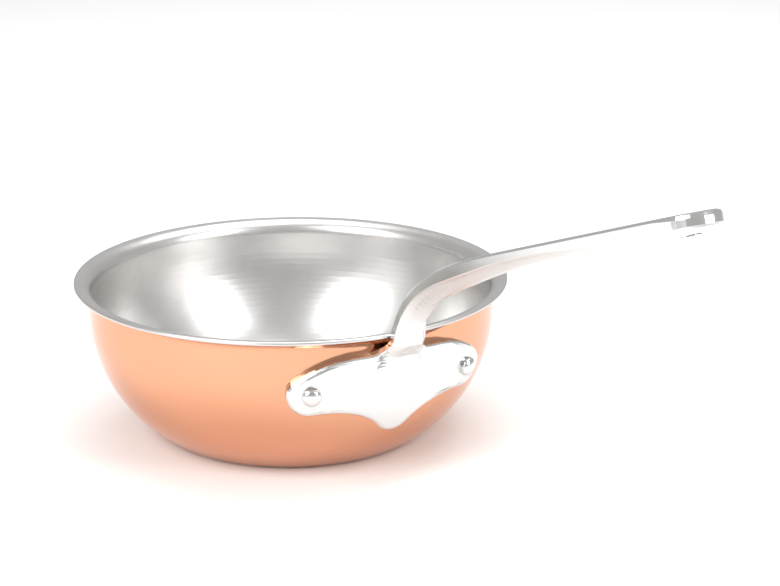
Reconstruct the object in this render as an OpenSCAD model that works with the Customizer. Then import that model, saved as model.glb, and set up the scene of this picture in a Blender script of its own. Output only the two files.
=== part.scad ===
// Saucier pan: a copper bowl lined with stainless steel and a long cast handle on two rivets.
// Millimetres, +Z up. The origin is the centre of the base's underside and the handle points along +X.

/* [Bowl] */
// Outer diameter of the pouring rim
rim_diameter = 200; // [170:1:250]
// Height of the rim's top above the table
pan_height = 72.5; // [60:0.5:90]
// Diameter of the flat base
base_diameter = 111; // [90:1:135]
// Outer radius of the corner between the base and the side
corner_radius = 13.6; // [8:0.2:18]
// Height of the upright band between the curved side and the flare
upright_band = 7; // [3:0.5:14]
// How far the rim reaches out past the upright wall
lip_reach = 6.9; // [5.5:0.1:10]
// Outer radius of the flare under the rim
flare_radius = 4.4; // [3:0.1:5]
// Angle at which the rim still rises where it ends
rim_rise = 9; // [0:1:25]
// Width of the steel edge that covers the end of the copper
rim_edge = 1.8; // [1:0.1:2.5]

/* [Sheets] */
// Thickness of the copper
copper_sheet = 1.4; // [0.8:0.1:2.5]
// Thickness of the steel lining
steel_sheet = 0.4; // [0.2:0.1:0.8]

/* [Flange] */
// Thickness of the flange on the wall
flange_thickness = 5; // [3.5:0.1:6.5]
// Distance round the wall from the middle of the handle to the end of an ear
flange_reach = 49.8; // [42:0.1:60]
// Radius of the round end of an ear
ear_radius = 10.6; // [9:0.1:13]
// Height of the ears' rivets above the table
ear_height = 48; // [42:0.1:52]
// Height of the flange's upper edge where it meets the post
flange_top = 63.8; // [62:0.1:68]
// Height of the tip of the bottom lobe
lobe_bottom = 25.8; // [18:0.1:28]
// Radius of the bottom lobe
lobe_radius = 10.7; // [8:0.1:13]
// Rounding of the flange's front edges
flange_rounding = 2.2; // [0.8:0.1:3]

/* [Handle] */
// Distance from the middle of the bowl to the handle's end
handle_reach = 297; // [230:1:340]
// Angle at which the long stretch rises
handle_rise = 20.3; // [12:0.1:28]
// Height above the rim's top at which the bend runs into the long stretch
bend_height = 56.8; // [45:0.1:70]
// How far past the rim's edge the bend runs into the long stretch
bend_reach = 80.5; // [70:0.5:100]
// Clearance between the post and the rim's edge
rim_clearance = 0.5; // [0.3:0.1:2]
// Width of the post in front of the rim
post_width = 15.2; // [12:0.1:18]
// Width of the narrow stretch after the bend
waist_width = 12.6; // [10:0.1:16]
// Width of the round end
end_width = 22; // [17:0.1:28]
// Height of the handle's side faces at the post
plate_at_post = 4.8; // [3.5:0.1:6]
// Height of the handle's side faces at the waist
plate_at_waist = 4.4; // [3.5:0.1:6]
// Height of the handle's side faces at the end
plate_at_end = 6.2; // [4.5:0.1:7]
// Depth of the handle with its rib at the post
rib_at_post = 9.3; // [7:0.1:12]
// Depth of the handle with its rib in the bend
rib_at_bend = 10.4; // [8:0.1:13]
// Depth of the handle with its rib at the waist
rib_at_waist = 6.3; // [5:0.1:9]
// Depth of the crowned end
rib_at_end = 7.8; // [6.5:0.1:10]
// Diameter of the hanging hole
hole_diameter = 8; // [5:0.1:11]
// Distance from the handle's end to the middle of the hanging hole
hole_inset = 13; // [9:0.1:20]

/* [Rivets] */
// Distance round the wall from the middle of the handle to a rivet
rivet_reach = 38.4; // [34:0.1:42]
// Diameter of the rivets' shanks
shank_diameter = 5; // [4:0.1:7]
// Clearance round a shank in its holes, on the radius
shank_clearance = 0.05; // [0.02:0.01:0.2]
// Diameter of the heads outside
head_diameter = 8.4; // [7:0.1:11]
// Height of the heads outside
head_height = 3.6; // [2:0.1:5]
// Diameter of the low heads inside the bowl
inner_head_diameter = 10; // [8:0.1:13]
// Height of the low heads inside the bowl
inner_head_height = 1.8; // [1:0.1:3]
// Depth of the flat seat under each outside head
seat_depth = 0.3; // [0.2:0.05:0.8]

/* [Hidden] */
sheets = copper_sheet + steel_sheet;
rim_radius = rim_diameter / 2;
wall_radius = rim_radius - lip_reach;
base_radius = base_diameter / 2;
// The rim: a flare whose centre lies outside the wall, then a short straight stretch to a round edge.
end_angle = 90 + rim_rise;
rim_run = (lip_reach - flare_radius * (1 + cos(end_angle)) - sheets / 2 * (1 + sin(rim_rise))) / cos(rim_rise);
flare_start = pan_height - flare_radius * sin(end_angle) - rim_run * sin(rim_rise)
    - sheets / 2 * cos(rim_rise) - sheets / 2;
wall_start = flare_start - upright_band;
// The curved side is one arc that is upright at wall_start and touches the base's corner arc.
side_a = wall_radius - base_radius;
side_h = wall_start - corner_radius;
side_radius = (side_a * side_a + side_h * side_h - corner_radius * corner_radius) / (2 * (side_a - corner_radius));
side_centre = [wall_radius - side_radius, wall_start];
meet_angle = atan2(corner_radius - wall_start, base_radius - side_centre[0]);
meet_height = corner_radius * (1 + sin(meet_angle));

function mix(a, b, f) = a + (b - a) * f;
function clamp01(f) = min(1, max(0, f));
function ease(f) = let (x = clamp01(f)) x * x * (3 - 2 * x);
function dir(a) = [cos(a), sin(a)];
function arc(c, r, a, b, n) = [for (i = [0:n]) c + r * dir(mix(a, b, i / n))];

// Bowl profile, drawn a depth t inside the outer surface. It ends where the rim's edge begins.
function side_line(t) = concat(
    arc([base_radius, corner_radius], corner_radius - t, -90, meet_angle, 14),
    [for (i = [1:22]) side_centre + (side_radius - t) * dir(mix(meet_angle, 0, i / 22))]);
function flare_line(t) = arc([wall_radius + flare_radius, flare_start], flare_radius + t, 180, end_angle, 14);
rim_dir = dir(rim_rise);
rim_down = [sin(rim_rise), -cos(rim_rise)];
flare_end = [wall_radius + flare_radius, flare_start] + flare_radius * dir(end_angle);
function rim_point(run, t) = flare_end + run * rim_dir - t * rim_down;
function bowl_line(t) = concat([[0, t]], side_line(t), flare_line(t));

module sheet_profile(outer, inner) {
    polygon(concat(bowl_line(outer), [rim_point(rim_run - rim_edge, outer), rim_point(rim_run - rim_edge, inner)],
        [for (i = [len(bowl_line(inner)) - 1:-1:0]) bowl_line(inner)[i]]));
}
// The steel lies inside the copper and turns over its end, with a half-round edge as thick as both sheets.
module liner_profile() {
    polygon(concat(bowl_line(copper_sheet),
        [rim_point(rim_run - rim_edge, copper_sheet), rim_point(rim_run - rim_edge, 0), rim_point(rim_run, 0)],
        arc(rim_point(rim_run, sheets / 2), sheets / 2, rim_rise - 75, rim_rise + 75, 10),
        [rim_point(rim_run, sheets)],
        [for (i = [len(bowl_line(sheets)) - 1:-1:0]) bowl_line(sheets)[i]]));
}
// All that lies inside a surface of the bowl, up to the flare.
module bowl_solid(t) {
    rotate_extrude($fn = 96)
        polygon(concat([[0, t]], side_line(t), [[wall_radius - t, flare_start], [0, flare_start]]));
}

// The wall behind the handle: radius and downward pitch of its outward normal at a height.
function wall_r(z) = z < meet_height
    ? base_radius + sqrt(max(0, corner_radius * corner_radius - pow(corner_radius - z, 2)))
    : z < wall_start ? side_centre[0] + sqrt(side_radius * side_radius - pow(wall_start - z, 2)) : wall_radius;
function wall_pitch(z) = z < wall_start ? asin(max(-1, (z - wall_start) / side_radius)) : 0;

// The spine is the line of the flange's back and of the handle's top, in the handle's middle plane. Up to the
// flange's top it follows the wall, and its coordinate is the height. Above, its coordinate is its length.
function bez(p, f) = (1 - f) * (1 - f) * (1 - f) * p[0] + 3 * f * (1 - f) * (1 - f) * p[1]
    + 3 * f * f * (1 - f) * p[2] + f * f * f * p[3];
leave = flange_top - 3;
neck = [rim_radius + rim_clearance, pan_height - 1.2];
neck_lean = 82;
bend_end = [rim_radius + bend_reach, pan_height + bend_height];
tip = [handle_reach, bend_end[1] + (handle_reach - bend_end[0]) * tan(handle_rise)];
neck_curve = [[wall_radius, leave], [wall_radius, leave + 4], neck - 3.5 * dir(neck_lean), neck];
bend_curve = [neck, neck + 24 * dir(neck_lean), bend_end - 58 * dir(handle_rise), bend_end];
spine_pts = concat([for (i = [0:10]) bez(neck_curve, i / 10)], [for (i = [1:30]) bez(bend_curve, i / 30)],
    [for (i = [1:8]) mix(bend_end, tip, i / 8)]);
function sums(p, i = 0, at = leave) = i == len(p) ? []
    : concat([at], sums(p, i + 1, i + 1 < len(p) ? at + norm(p[i + 1] - p[i]) : 0));
spine_at = sums(spine_pts);
spine_x = [for (i = [0:len(spine_pts) - 1]) [spine_at[i], spine_pts[i][0]]];
spine_z = [for (i = [0:len(spine_pts) - 1]) [spine_at[i], spine_pts[i][1]]];
v_neck = spine_at[10];
v_bend = spine_at[40];
v_tip = spine_at[48];
function spine(v) = v < leave ? [wall_r(v), v] : [lookup(v, spine_x), lookup(v, spine_z)];
function lean(v) = let (d = spine(v + 0.8) - spine(v - 0.8)) atan2(d[1], d[0]);
function depth_angle(v) = v < leave ? wall_pitch(v)
    : -(90 - lean(min(v, v_tip - 1))) * ease((v - v_neck + 2) / 26);

// A point of the casting: s across the spine, v along it, q below it. On the wall s runs round the bowl.
function place(s, v, q) = let (p = spine(v) + q * dir(depth_angle(v)), a = s / wall_radius * 180 / PI,
        c = 1 - ease((v - leave) / (v_neck + 4 - leave)))
    c * [p[0] * cos(a), p[0] * sin(a), p[1]] + (1 - c) * [p[0], s, p[1]];

// A smooth curve through a table of [distance from the neck, value].
function row(t, v, i = 0) = i >= len(t) - 2 || v < t[i + 1][0] ? i : row(t, v, i + 1);
function steep(t, i) = i == 0 || i == len(t) - 1 ? 0 : (t[i + 1][1] - t[i - 1][1]) / (t[i + 1][0] - t[i - 1][0]);
function curve(t, v) = v <= t[0][0] ? t[0][1] : v >= t[len(t) - 1][0] ? t[len(t) - 1][1]
    : let (i = row(t, v), h = t[i + 1][0] - t[i][0], u = (v - t[i][0]) / h)
        t[i][1] * (1 + 2 * u) * (1 - u) * (1 - u) + h * steep(t, i) * u * (1 - u) * (1 - u)
        + t[i + 1][1] * u * u * (3 - 2 * u) + h * steep(t, i + 1) * u * u * (u - 1);
bend_run = v_bend - v_neck;
long_run = v_tip - v_bend;
half_width = [[0, post_width / 2], [0.12 * bend_run, mix(waist_width, post_width, 0.3) / 2],
    [0.25 * bend_run, waist_width / 2], [0.7 * bend_run, waist_width / 2],
    [bend_run, mix(waist_width, end_width, 0.1) / 2], [bend_run + 0.34 * long_run, mix(waist_width, end_width, 0.46) / 2],
    [bend_run + 0.62 * long_run, mix(waist_width, end_width, 0.8) / 2],
    [bend_run + 0.84 * long_run, end_width / 2], [bend_run + long_run, end_width / 2]];
plate = [[-9, flange_thickness], [0, plate_at_post], [0.3 * bend_run, plate_at_post],
    [0.6 * bend_run, plate_at_post + 1.1], [0.75 * bend_run, plate_at_post + 0.9], [bend_run, plate_at_waist + 0.2],
    [bend_run + 0.22 * long_run, plate_at_waist], [bend_run + 0.42 * long_run, mix(plate_at_waist, plate_at_end, 0.6)],
    [bend_run + 0.6 * long_run, plate_at_end], [bend_run + long_run, plate_at_end]];
// How far the rib stands below the plate.
rib = [[-30, 0], [-26, 0.2], [-16, 2], [-8, rib_at_post - plate_at_post - 0.8], [0, rib_at_post - plate_at_post],
    [0.3 * bend_run, rib_at_bend - plate_at_post - 0.2], [0.6 * bend_run, rib_at_bend - plate_at_post - 1.3],
    [0.85 * bend_run, rib_at_bend - plate_at_post - 2.1], [bend_run, mix(rib_at_bend, rib_at_waist, 0.7) - plate_at_waist],
    [bend_run + 0.3 * long_run, rib_at_waist - plate_at_waist], [bend_run + 0.5 * long_run, rib_at_end - plate_at_end - 0.6],
    [bend_run + 0.7 * long_run, rib_at_end - plate_at_end], [bend_run + 0.88 * long_run, rib_at_end - plate_at_end],
    [bend_run + long_run, 0]];
rib_flat = [[-30, 8], [-14, 5], [-4, 3.2], [0.2 * bend_run, 1.8], [0.8 * bend_run, 1.4],
    [bend_run + 0.3 * long_run, 2], [bend_run + 0.6 * long_run, end_width / 2 - 5], [bend_run + long_run, end_width / 2 - 4]];
rib_foot = [[-34, 13], [-20, 11.5], [-8, 9], [0, post_width / 2 - 0.6]];

function half_at(v) = curve(half_width, v - v_neck);
function plate_at(v) = curve(plate, v - v_neck);
function rib_at(s, v) = let (foot = v < v_neck ? curve(rib_foot, v - v_neck) : half_at(v) - 0.6,
        flat = min(curve(rib_flat, v - v_neck), foot - 1))
    curve(rib, v - v_neck) * (1 - ease((abs(s) - flat) / (foot - flat)));
function back_at(v) = -1.5 * (1 - ease((v - leave - 1.5) / 4));

// Outline of one half of the casting, from the tip of the lobe round the ear, up the post and along the handle
// to the round end. Each row is [height of the row's middle, distance across, height at the edge].
lobe_turn = 50;
lobe_mid = [0, lobe_bottom + lobe_radius];
ear_mid = [flange_reach - ear_radius, ear_height];
lobe_side = lobe_mid + lobe_radius * dir(lobe_turn - 90);
ear_low = ear_mid + ear_radius * dir(-100);
ear_side = ear_mid + ear_radius * dir(6);
root = [post_width / 2 + 7.4, flange_top];
lobe_arc = [for (i = [1:6]) lobe_mid + lobe_radius * dir(mix(-90, lobe_turn - 90, pow(i / 6, 1.1) * 0.94 + 0.06))];
waist_arc = [for (i = [1:9]) bez([lobe_side, lobe_side + 9 * dir(lobe_turn), ear_low - 10 * dir(-10), ear_low], i / 9)];
ear_arc = [for (i = [1:8]) ear_mid + ear_radius * dir(mix(-100, 6, i / 8))];
brow_arc = [for (i = [1:9]) bez([ear_side, ear_side + 5.5 * dir(96), root + 19 * dir(0), root], i / 9)];
fillet_arc = [for (i = [1:7]) bez([root, root - [4.5, 0], [post_width / 2 + 0.3, flange_top + 2.6],
    [post_width / 2, v_neck]], i / 7)];
flange_edge = concat(lobe_arc, waist_arc, ear_arc, brow_arc, fillet_arc);
// Heights of the middle of each row: they spread out evenly between the ends of the outline's stretches.
flange_mids = concat([for (i = [1:6]) mix(lobe_bottom, lobe_side[1], pow(i / 6, 1.6))],
    [for (i = [1:9]) mix(lobe_side[1], ear_low[1] + 4.5, i / 9)], [for (i = [1:8]) mix(ear_low[1] + 4.5, ear_side[1] - 1, i / 8)],
    [for (i = [1:9]) mix(ear_side[1] - 1, flange_top - 3, i / 9)], [for (i = [1:7]) mix(flange_top - 3, v_neck, i / 7)]);
v_round = v_tip - end_width / 2;
grip_at = concat([for (i = [1:26]) v_neck + bend_run * i / 26], [for (i = [1:14]) mix(v_bend, v_round, i / 14)]);
grip_edge = [for (v = grip_at) [half_at(v), v]];
end_arc = [for (i = [1:9]) [0, v_round] + end_width / 2 * dir(90 * pow(i / 9, 0.85) * 0.94)];
edge = concat(flange_edge, grip_edge, end_arc);
mids = concat(flange_mids, grip_at, [for (p = end_arc) p[1]]);
rows = len(edge);

// Rounded edges: inset from the outline, square to it, with the height that belongs to the inset.
function inward(i) = let (a = i == 0 ? edge[0] - [1, 0] : edge[i - 1], b = i == rows - 1 ? edge[i] - [1, 0] : edge[i + 1],
        d = b - a) [-d[1], d[0]] / norm(d);
function front_round(v) = mix(flange_rounding, 0.8, ease((v - flange_top + 6) / 16)) + 0.8 * ease((v - v_tip + 20) / 16);
function back_round(v) = 0.3 + 0.8 * ease((v - flange_top) / 8) + 0.8 * ease((v - v_tip + 20) / 16);
function draft_at(v) = 0.7 * (1 - ease((v - flange_top + 8) / 12));
// The middles of the rows draw in at both ends, so that the ends are rounded as the sides are.
function drawn(v, low, high) = v < 44 ? mix(lobe_bottom + low, 44, (v - lobe_bottom) / (44 - lobe_bottom))
    : v > v_tip - 24 ? mix(v_tip - 24, v_tip - high, (v - v_tip + 24) / 24) : v;
front_steps = 9;
function half_loop(i) = let (e = edge[i], n = inward(i), v = e[1], rf = front_round(v), rb = back_round(v), dr = draft_at(v),
        b = e + rb * n, f = e + (rf + dr) * n, mb = [0, drawn(mids[i], 0.3, 1.9)], mf = [0, drawn(mids[i], 2.9, 1.6)],
        spread = 1 + 0.8 * clamp01((f[0] - 9) / 25))
    concat(
        [for (k = [0:2]) let (p = mix(mb, b, k / 2)) place(p[0], p[1], back_at(p[1]))],
        [for (k = [1:2]) let (p = e + rb * (1 - sin(45 * k)) * n) place(p[0], p[1], back_at(v) + rb * (1 - cos(45 * k)))],
        [for (k = [0:3]) let (p = e + (dr + rf * (1 - cos(30 * k))) * n)
            place(p[0], p[1], plate_at(v) - rf * (1 - sin(30 * k)))],
        [for (k = [1:front_steps]) let (p = mix(f, mf, 1 - pow(1 - k / front_steps, spread)))
            place(p[0], p[1], plate_at(p[1]) + rib_at(p[0], p[1]))]);
halves = [for (i = [0:rows - 1]) half_loop(i)];
n_half = len(halves[0]);
// A full loop runs from the middle of the back round one side to the middle of the front and back round the other.
n_loop = 2 * n_half - 2;
function mirrored(p) = [p[0], -p[1], p[2]];
loops = [for (h = halves) concat(h, [for (k = [n_half - 2:-1:1]) mirrored(h[k])])];

module casting() {
    points = [for (l = loops) for (p = l) p];
    side = [for (i = [0:rows - 2]) for (k = [0:n_loop - 1]) let (a = i * n_loop + k, b = i * n_loop + (k + 1) % n_loop)
        each [[a, b, a + n_loop], [b, b + n_loop, a + n_loop]]];
    function twin(k) = (n_loop - k) % n_loop;
    function cap(i, flip) = [for (k = [0:n_half - 2]) let (a = i + k, b = i + k + 1, c = i + twin(k + 1), d = i + twin(k),
            t = k == 0 ? [[a, b, c]] : k == n_half - 2 ? [[a, b, d]] : [[a, b, c], [a, c, d]])
        each flip ? [for (f = t) [f[2], f[1], f[0]]] : t];
    polyhedron(points, concat(side, cap(0, true), cap((rows - 1) * n_loop, false)));
}

// Rivets stand square to the wall through each ear.
rivet_angle = rivet_reach / wall_radius * 180 / PI;
rivet_pitch = wall_pitch(ear_height);
module at_rivet(side) {
    rotate([0, 0, side * rivet_angle]) translate([wall_r(ear_height), 0, ear_height])
        rotate([0, 90 - rivet_pitch, 0]) children();
}
module rivet_bores(r) {
    for (side = [-1, 1]) at_rivet(side) translate([0, 0, -8]) cylinder(r = r, h = 30, $fn = 48);
}
module rivet(side) {
    r = head_diameter / 2;
    seat = flange_thickness - seat_depth;
    at_rivet(side) {
        translate([0, 0, -sheets - 0.3]) cylinder(d = shank_diameter, h = seat + sheets + 0.8, $fn = 48);
        translate([0, 0, seat]) rotate_extrude($fn = 64)
            polygon(concat([[0, 0], [r, 0]], [for (i = [0:10]) [r * cos(9 * i), 1.1 + (head_height - 1.1) * sin(9 * i)]]));
    }
    intersection() {
        at_rivet(side) translate([0, 0, -sheets]) rotate_extrude($fn = 64)
            polygon(concat([[0, 0.8], [inner_head_diameter / 2, 0.8]],
                [for (i = [0:10]) [inner_head_diameter / 2 * cos(9 * i), -inner_head_height * sin(9 * i)]]));
        bowl_solid(sheets);
    }
}

module copper_shell() {
    color([0.72, 0.45, 0.32]) difference() {
        rotate_extrude($fn = 96) sheet_profile(0, copper_sheet);
        rivet_bores(shank_diameter / 2 + shank_clearance);
    }
}
module steel_liner() {
    color([0.75, 0.75, 0.76]) difference() {
        rotate_extrude($fn = 96) liner_profile();
        rivet_bores(shank_diameter / 2 + shank_clearance);
    }
}
module handle() {
    color([0.82, 0.82, 0.83]) difference() {
        casting();
        bowl_solid(0);
        rivet_bores(shank_diameter / 2 + shank_clearance);
        for (side = [-1, 1]) at_rivet(side) translate([0, 0, flange_thickness - seat_depth])
            cylinder(r = head_diameter / 2 + 0.3, h = 6, $fn = 64);
        translate([handle_reach, 0, tip[1]]) rotate([0, -handle_rise, 0]) translate([-hole_inset, 0, -14])
            cylinder(d = hole_diameter, h = 20, $fn = 64);
    }
}
module left_rivet() { color([0.8, 0.8, 0.81]) rivet(-1); }
module right_rivet() { color([0.8, 0.8, 0.81]) rivet(1); }

copper_shell();
steel_liner();
handle();
left_rivet();
right_rivet();
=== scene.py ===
"""A copper saucier pan with a steel lining and a long cast handle, on a pale floor in soft studio light."""

import math

import bpy
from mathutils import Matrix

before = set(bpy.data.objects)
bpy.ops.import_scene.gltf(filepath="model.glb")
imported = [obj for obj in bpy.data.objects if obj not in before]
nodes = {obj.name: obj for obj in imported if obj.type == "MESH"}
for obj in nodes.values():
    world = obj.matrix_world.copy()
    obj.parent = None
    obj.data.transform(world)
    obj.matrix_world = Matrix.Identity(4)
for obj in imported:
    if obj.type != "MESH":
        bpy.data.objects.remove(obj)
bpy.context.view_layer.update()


def metal(name, colour, roughness, mottle, grain):
    """A bare metal. Mottle varies its roughness, and grain is the size of the spots in spots per metre."""
    material = bpy.data.materials.new(name)
    material.use_nodes = True
    tree = material.node_tree
    shader = tree.nodes["Principled BSDF"]
    shader.inputs["Base Color"].default_value = (*colour, 1)
    shader.inputs["Metallic"].default_value = 1
    coords = tree.nodes.new("ShaderNodeTexCoord")
    noise = tree.nodes.new("ShaderNodeTexNoise")
    noise.inputs["Scale"].default_value = grain
    noise.inputs["Detail"].default_value = 4
    spread = tree.nodes.new("ShaderNodeMapRange")
    spread.inputs["To Min"].default_value = roughness - mottle
    spread.inputs["To Max"].default_value = roughness + mottle
    tree.links.new(coords.outputs["Object"], noise.inputs["Vector"])
    tree.links.new(noise.outputs["Fac"], spread.inputs["Value"])
    tree.links.new(spread.outputs["Result"], shader.inputs["Roughness"])
    return material


finishes = {
    "copper_shell": metal("copper", (0.72, 0.36, 0.22), 0.16, 0.02, 60),
    "steel_liner": metal("satin_steel", (0.66, 0.65, 0.64), 0.3, 0.04, 90),
    "handle": metal("cast_steel", (0.72, 0.72, 0.71), 0.18, 0.03, 140),
    "left_rivet": metal("rivet_steel", (0.7, 0.7, 0.69), 0.16, 0.02, 140),
}
finishes["right_rivet"] = finishes["left_rivet"]
for name, material in finishes.items():
    nodes[name].data.materials.clear()
    nodes[name].data.materials.append(material)

# The floor is large enough that its edges are never in view.
FLOOR_SIZE = 6
bpy.ops.mesh.primitive_plane_add(size=FLOOR_SIZE, location=(0, 0, 0))
floor = bpy.context.object
floor.name = "floor"
paper = bpy.data.materials.new("paper")
paper.use_nodes = True
paper.node_tree.nodes["Principled BSDF"].inputs["Base Color"].default_value = (0.9, 0.9, 0.9, 1)
paper.node_tree.nodes["Principled BSDF"].inputs["Roughness"].default_value = 0.9
floor.data.materials.append(paper)

# The backdrop is white to the camera and a soft grey to the metal.
world = bpy.data.worlds.new("studio")
bpy.context.scene.world = world
world.use_nodes = True
tree = world.node_tree
room = tree.nodes["Background"]
room.inputs["Color"].default_value = (1, 1, 1, 1)
room.inputs["Strength"].default_value = 0.55
backdrop = tree.nodes.new("ShaderNodeBackground")
backdrop.inputs["Color"].default_value = (1, 1, 1, 1)
backdrop.inputs["Strength"].default_value = 1
ray = tree.nodes.new("ShaderNodeLightPath")
mixer = tree.nodes.new("ShaderNodeMixShader")
tree.links.new(ray.outputs["Is Camera Ray"], mixer.inputs[0])
tree.links.new(room.outputs[0], mixer.inputs[1])
tree.links.new(backdrop.outputs[0], mixer.inputs[2])
tree.links.new(mixer.outputs[0], tree.nodes["World Output"].inputs["Surface"])


def softbox(name, azimuth, elevation, distance, width, height, power):
    """A rectangular light that faces the pan. Azimuth and elevation are in degrees, seen from the pan."""
    turn, rise = math.radians(azimuth), math.radians(elevation)
    place = (
        distance * math.cos(rise) * math.cos(turn),
        distance * math.cos(rise) * math.sin(turn),
        distance * math.sin(rise),
    )
    bpy.ops.object.light_add(type="AREA", location=place, rotation=(math.pi / 2 - rise, 0, turn + math.pi / 2))
    light = bpy.context.object
    light.name = name
    light.data.shape = "RECTANGLE"
    light.data.size = width
    light.data.size_y = height
    light.data.energy = power


softbox("left_box", -75, 35, 1.4, 0.7, 1.0, 14)
softbox("right_box", 25, 30, 1.5, 0.5, 1.0, 10)
softbox("top_box", 120, 75, 1.6, 1.4, 1.4, 18)

bpy.ops.object.camera_add(
    location=(0.84377, -0.45386, 0.36271),
    rotation=(math.radians(72.62), 0, math.radians(59)),
)
camera = bpy.context.object
camera.data.sensor_width = 36
camera.data.lens = 100
bpy.context.scene.camera = camera
bpy.context.scene.view_settings.view_transform = "Standard"
